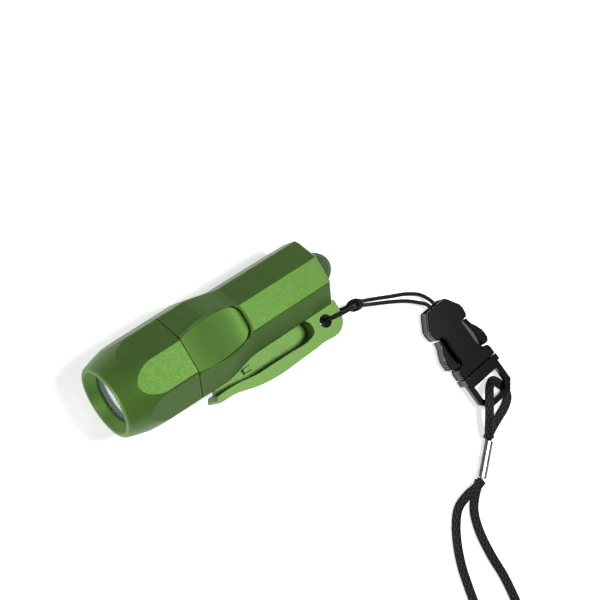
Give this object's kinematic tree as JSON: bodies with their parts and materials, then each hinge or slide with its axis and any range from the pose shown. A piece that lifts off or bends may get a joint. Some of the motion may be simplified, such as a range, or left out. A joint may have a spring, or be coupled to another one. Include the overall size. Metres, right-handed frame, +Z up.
{
  "type": "hand dynamo flashlight with wrist lanyard",
  "caption": "Small octagonal flashlight with a squeeze lever on its side, a round nose with recessed lamps, a domed tail button and a wrist strap on a side-release buckle",
  "frame": {"origin": "on the flat underside of the head, 6 mm in front of its joint with the barrel", "axes": "+X along the beam, +Y towards the lever, +Z up from the flat that the flashlight lies on"},
  "size_m": [0.1388, 0.1829, 0.0304],
  "materials": {
    "olive_case": "satin moulded plastic with a fine grain",
    "olive_lever": "satin moulded plastic, lighter than the case",
    "clear_lens": "clear polished plastic",
    "mirror": "bright vacuum-metallised plastic",
    "board": "lacquered circuit board",
    "lamp_resin": "clear resin lamps",
    "steel": "plain steel",
    "brass": "plain brass",
    "black_rubber": "smooth black rubber",
    "gear_white": "natural moulded plastic",
    "magnet": "sintered magnet",
    "black_plastic": "matte black plastic",
    "copper": "enamelled copper winding",
    "dark_rubber": "matte dark green rubber",
    "black_cord": "tightly braided black cord",
    "buckle_black": "glossy black moulded plastic",
    "bright_metal": "bright crimped metal"
  },
  "bodies": {
    "body": {"main_housing": "olive_case", "storage_cell": "steel", "seal_ring": "black_rubber", "lever_pin": "steel", "idler_shaft": "steel", "rotor_shaft": "steel", "lower_gear_plate": "black_plastic", "upper_gear_plate": "black_plastic", "stator_core": "steel", "stator_coil": "copper", "tail_switch": "black_plastic", "switch_carrier": "black_plastic", "return_spring": "steel", "cord_upper": "black_cord", "cord_lower": "black_cord", "cord_knot": "black_cord", "neck_strap": "black_cord", "wrist_strap": "black_cord", "buckle_socket": "buckle_black", "buckle_plug": "buckle_black", "ferrule": "bright_metal"},
    "head": {"head_shell": "olive_case", "lens": "clear_lens", "reflector": "mirror", "lamp_board": "board", "lamp_1": "lamp_resin", "lamp_2": "lamp_resin", "lamp_3": "lamp_resin", "cell_spring": "brass"},
    "lever": {"squeeze_lever": "olive_lever"},
    "idler": {"idler_gear": "gear_white"},
    "rotor": {"rotor_pinion": "brass", "rotor_magnet": "magnet"},
    "button": {"tail_button": "dark_rubber"},
    "prong_left": {"buckle_prong_left": "buckle_black"},
    "prong_right": {"buckle_prong_right": "buckle_black"}
  },
  "joints": [
    {"name": "head_twist", "type": "hinge", "parent": "body", "child": "head", "pos_m": [0.01, 0, 0.0151], "axis": [1, 0, 0], "continuous": true},
    {"name": "lever_swing", "type": "hinge", "parent": "body", "child": "lever", "pos_m": [-0.0575, 0.0086, 0.0151], "axis": [0, 0, 1], "range_deg": [0, 18], "stiffness_Nm_per_rad": 0.02},
    {"name": "idler_spin", "type": "hinge", "parent": "body", "child": "idler", "pos_m": [-0.03655, 0.00013, 0.0151], "axis": [0, 0, 1], "range_deg": [-110, 2]},
    {"name": "rotor_spin", "type": "hinge", "parent": "body", "child": "rotor", "pos_m": [-0.02615, 0.00013, 0.0151], "axis": [0, 0, 1], "range_deg": [-2, 360]},
    {"name": "button_press", "type": "slide", "parent": "body", "child": "button", "axis": [1, 0, 0], "range_m": [0, 0.0012], "stiffness_N_per_m": 600},
    {"name": "left_prong_flex", "type": "hinge", "parent": "body", "child": "prong_left", "pos_m": [-0.11297, 0.06115, 0.003], "axis": [0, 0, 1], "range_deg": [0, 4.5], "stiffness_Nm_per_rad": 0.05},
    {"name": "right_prong_flex", "type": "hinge", "parent": "body", "child": "prong_right", "pos_m": [-0.10304, 0.0623, 0.003], "axis": [0, 0, 1], "range_deg": [-4.5, 0], "stiffness_Nm_per_rad": 0.05}
  ],
  "couplings": [
    {"joint": "idler_spin", "follows": "lever_swing", "ratio": -6},
    {"joint": "rotor_spin", "follows": "lever_swing", "ratio": 19.5}
  ]
}
